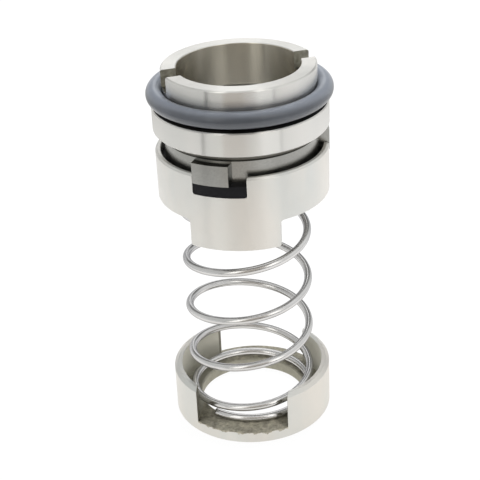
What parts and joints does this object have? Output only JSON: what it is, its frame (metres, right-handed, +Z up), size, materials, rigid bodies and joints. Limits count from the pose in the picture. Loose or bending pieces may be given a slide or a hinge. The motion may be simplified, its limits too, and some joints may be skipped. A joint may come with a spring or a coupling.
{
  "type": "mechanical shaft seal",
  "caption": "Mechanical shaft seal standing free: slotted drive collar, open coil spring, driver cup with lugged face ring, and a flanged stationary seat with an O-ring.",
  "frame": {"origin": "centre of the drive collar's underside, where it stands and where the shaft axis leaves it", "axes": "+Z up along the shaft axis from the drive collar to the stationary seat, -Y towards the front window of the cup"},
  "size_m": [0.0408, 0.0408, 0.0869],
  "materials": {
    "collar_steel": "satin turned stainless steel, milled slots",
    "spring_steel": "bright drawn stainless wire",
    "cup_steel": "satin turned stainless steel",
    "black_rubber": "matte black rubber",
    "ring_carbide": "matte ground hard carbide with a lapped nose",
    "seat_steel": "polished turned stainless steel",
    "insert_carbide": "ground hard carbide with a lapped face",
    "o_ring_rubber": "blue-grey rubber, semi-matte"
  },
  "bodies": {
    "drive_end": {"collar": "collar_steel", "spring": "spring_steel"},
    "rotating_head": {"driver_cup": "cup_steel", "rubber_ring": "black_rubber", "face_ring": "ring_carbide"},
    "stationary_seat": {"seat_ring": "seat_steel", "seat_insert": "insert_carbide", "seat_o_ring": "o_ring_rubber"}
  },
  "joints": [
    {"name": "spring_travel", "type": "slide", "parent": "drive_end", "child": "rotating_head", "axis": [0, 0, -1], "range_m": [0, 0.044], "stiffness_N_per_m": 850, "springref_m": -0.0014, "deforming": ["spring"]},
    {"name": "seat_spin", "type": "hinge", "parent": "rotating_head", "child": "stationary_seat", "pos_m": [0, 0, 0.072], "axis": [0, 0, 1], "continuous": true}
  ]
}
